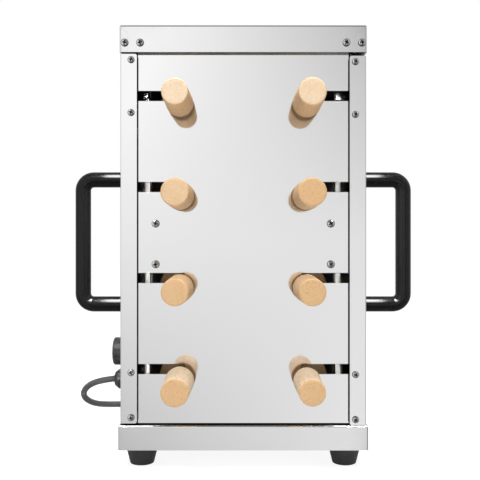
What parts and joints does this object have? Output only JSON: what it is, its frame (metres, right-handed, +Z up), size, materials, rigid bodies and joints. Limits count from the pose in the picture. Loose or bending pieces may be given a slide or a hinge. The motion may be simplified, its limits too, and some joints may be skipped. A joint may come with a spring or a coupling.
{
  "type": "chimney cake oven",
  "caption": "Upright electric oven with wooden-handled baking rollers in two columns, slotted front panel, hinged side doors with U handles, chain drive and thermostat.",
  "frame": {"origin": "on the table under the middle of the machine's box, measured without the mains cord, its coil and its plug", "axes": "+X to the right as the cook sees it, -Y towards the cook (the roller grips point that way), +Z up"},
  "size_m": [0.4917, 0.5982, 0.566],
  "materials": {
    "satin_steel": "satin stainless sheet",
    "polished_steel": "mirror polished stainless sheet",
    "inner_steel": "plain stainless sheet",
    "turned_steel": "turned bright steel",
    "screw_steel": "bright domed heads",
    "cast_alloy": "die-cast",
    "bronze": "sintered bronze",
    "heater_sheath": "dark oxidised alloy sheath",
    "insulation": "pressed mineral fibre",
    "beech": "turned beech, oiled",
    "black_handle": "glossy black",
    "black_rubber": "matte",
    "dark_plastic": "moulded",
    "switch_red": "moulded",
    "lamp_amber": "clear lens",
    "cord_rubber": "smooth jacket"
  },
  "bodies": {
    "casing": {"base_pan": "satin_steel", "rubber_feet": "black_rubber", "top_cap": "satin_steel", "ceiling_tray": "inner_steel", "front_panel": "polished_steel", "chamber_rear_wall": "inner_steel", "insulation_board": "insulation", "bearing_plate": "inner_steel", "service_side_panels": "satin_steel", "rear_cover": "satin_steel", "bearings_and_bushes": "bronze", "heating_elements": "heater_sheath", "crumb_tray": "inner_steel", "gear_motor": "cast_alloy", "drive_chain": "turned_steel", "door_catches": "dark_plastic", "control_box": "satin_steel", "thermostat": "dark_plastic", "rocker_housing": "dark_plastic", "pilot_lamp": "lamp_amber", "cable_gland": "dark_plastic", "power_cord": "cord_rubber", "cord_coil": "cord_rubber", "plug": "cord_rubber", "casing_screws": "screw_steel"},
    "left_door": {"left_door": "polished_steel", "left_door_pins": "turned_steel", "left_door_screws": "screw_steel", "left_handle": "black_handle"},
    "right_door": {"right_door": "polished_steel", "right_door_pins": "turned_steel", "right_door_screws": "screw_steel", "right_handle": "black_handle"},
    "knob": {"thermostat_knob": "dark_plastic"},
    "switch_rocker": {"rocker": "switch_red"},
    "motor_output": {"motor_sprocket": "turned_steel"},
    "spindle_L1": {"spindle_L1": "turned_steel"},
    "roller_L1": {"roller_L1_shaft": "turned_steel", "roller_L1_wood": "beech"},
    "spindle_L2": {"spindle_L2": "turned_steel"},
    "roller_L2": {"roller_L2_shaft": "turned_steel", "roller_L2_wood": "beech"},
    "spindle_L3": {"spindle_L3": "turned_steel"},
    "roller_L3": {"roller_L3_shaft": "turned_steel", "roller_L3_wood": "beech"},
    "spindle_L4": {"spindle_L4": "turned_steel"},
    "roller_L4": {"roller_L4_shaft": "turned_steel", "roller_L4_wood": "beech"},
    "spindle_R1": {"spindle_R1": "turned_steel"},
    "roller_R1": {"roller_R1_shaft": "turned_steel", "roller_R1_wood": "beech"},
    "spindle_R2": {"spindle_R2": "turned_steel"},
    "roller_R2": {"roller_R2_shaft": "turned_steel", "roller_R2_wood": "beech"},
    "spindle_R3": {"spindle_R3": "turned_steel"},
    "roller_R3": {"roller_R3_shaft": "turned_steel", "roller_R3_wood": "beech"},
    "spindle_R4": {"spindle_R4": "turned_steel"},
    "roller_R4": {"roller_R4_shaft": "turned_steel", "roller_R4_wood": "beech"}
  },
  "joints": [
    {"name": "left_door_hinge", "type": "hinge", "parent": "casing", "child": "left_door", "pos_m": [-0.151, 0.0825, 0.2944], "axis": [0, 0, -1], "range_deg": [0, 95]},
    {"name": "right_door_hinge", "type": "hinge", "parent": "casing", "child": "right_door", "pos_m": [0.151, 0.0825, 0.2944], "axis": [0, 0, 1], "range_deg": [0, 95]},
    {"name": "thermostat_turn", "type": "hinge", "parent": "casing", "child": "knob", "pos_m": [-0.183, 0.122, 0.1118], "axis": [1, 0, 0], "range_deg": [0, 270]},
    {"name": "rocker_tilt", "type": "hinge", "parent": "casing", "child": "switch_rocker", "pos_m": [-0.178, 0.122, 0.158], "axis": [0, 1, 0], "range_deg": [0, 16]},
    {"name": "motor_turn", "type": "hinge", "parent": "casing", "child": "motor_output", "pos_m": [0, 0.1314, 0.09595], "axis": [0, 1, 0], "continuous": true},
    {"name": "spindle_L1_turn", "type": "hinge", "parent": "casing", "child": "spindle_L1", "pos_m": [-0.08, 0.1, 0.4651], "axis": [0, 1, 0], "continuous": true},
    {"name": "spindle_L2_turn", "type": "hinge", "parent": "casing", "child": "spindle_L2", "pos_m": [-0.08, 0.1, 0.3485], "axis": [0, 1, 0], "continuous": true},
    {"name": "spindle_L3_turn", "type": "hinge", "parent": "casing", "child": "spindle_L3", "pos_m": [-0.08, 0.1, 0.2319], "axis": [0, 1, 0], "continuous": true},
    {"name": "spindle_L4_turn", "type": "hinge", "parent": "casing", "child": "spindle_L4", "pos_m": [-0.08, 0.1, 0.1153], "axis": [0, 1, 0], "continuous": true},
    {"name": "spindle_R1_turn", "type": "hinge", "parent": "casing", "child": "spindle_R1", "pos_m": [0.08, 0.1, 0.4651], "axis": [0, 1, 0], "continuous": true},
    {"name": "spindle_R2_turn", "type": "hinge", "parent": "casing", "child": "spindle_R2", "pos_m": [0.08, 0.1, 0.3485], "axis": [0, 1, 0], "continuous": true},
    {"name": "spindle_R3_turn", "type": "hinge", "parent": "casing", "child": "spindle_R3", "pos_m": [0.08, 0.1, 0.2319], "axis": [0, 1, 0], "continuous": true},
    {"name": "spindle_R4_turn", "type": "hinge", "parent": "casing", "child": "spindle_R4", "pos_m": [0.08, 0.1, 0.1153], "axis": [0, 1, 0], "continuous": true},
    {"name": "roller_L1_pull", "type": "slide", "parent": "spindle_L1", "child": "roller_L1", "axis": [0, -1, 0], "range_m": [0, 0.012]},
    {"name": "roller_L2_pull", "type": "slide", "parent": "spindle_L2", "child": "roller_L2", "axis": [0, -1, 0], "range_m": [0, 0.012]},
    {"name": "roller_L3_pull", "type": "slide", "parent": "spindle_L3", "child": "roller_L3", "axis": [0, -1, 0], "range_m": [0, 0.012]},
    {"name": "roller_L4_pull", "type": "slide", "parent": "spindle_L4", "child": "roller_L4", "axis": [0, -1, 0], "range_m": [0, 0.012]},
    {"name": "roller_R1_pull", "type": "slide", "parent": "spindle_R1", "child": "roller_R1", "axis": [0, -1, 0], "range_m": [0, 0.012]},
    {"name": "roller_R2_pull", "type": "slide", "parent": "spindle_R2", "child": "roller_R2", "axis": [0, -1, 0], "range_m": [0, 0.012]},
    {"name": "roller_R3_pull", "type": "slide", "parent": "spindle_R3", "child": "roller_R3", "axis": [0, -1, 0], "range_m": [0, 0.012]},
    {"name": "roller_R4_pull", "type": "slide", "parent": "spindle_R4", "child": "roller_R4", "axis": [0, -1, 0], "range_m": [0, 0.012]}
  ],
  "couplings": [
    {"joint": "spindle_L2_turn", "follows": "spindle_L1_turn", "ratio": 1},
    {"joint": "spindle_L3_turn", "follows": "spindle_L1_turn", "ratio": 1},
    {"joint": "spindle_L4_turn", "follows": "spindle_L1_turn", "ratio": 1},
    {"joint": "spindle_R1_turn", "follows": "spindle_L1_turn", "ratio": 1},
    {"joint": "spindle_R2_turn", "follows": "spindle_L1_turn", "ratio": 1},
    {"joint": "spindle_R3_turn", "follows": "spindle_L1_turn", "ratio": 1},
    {"joint": "spindle_R4_turn", "follows": "spindle_L1_turn", "ratio": 1},
    {"joint": "motor_turn", "follows": "spindle_L1_turn", "ratio": -1}
  ]
}
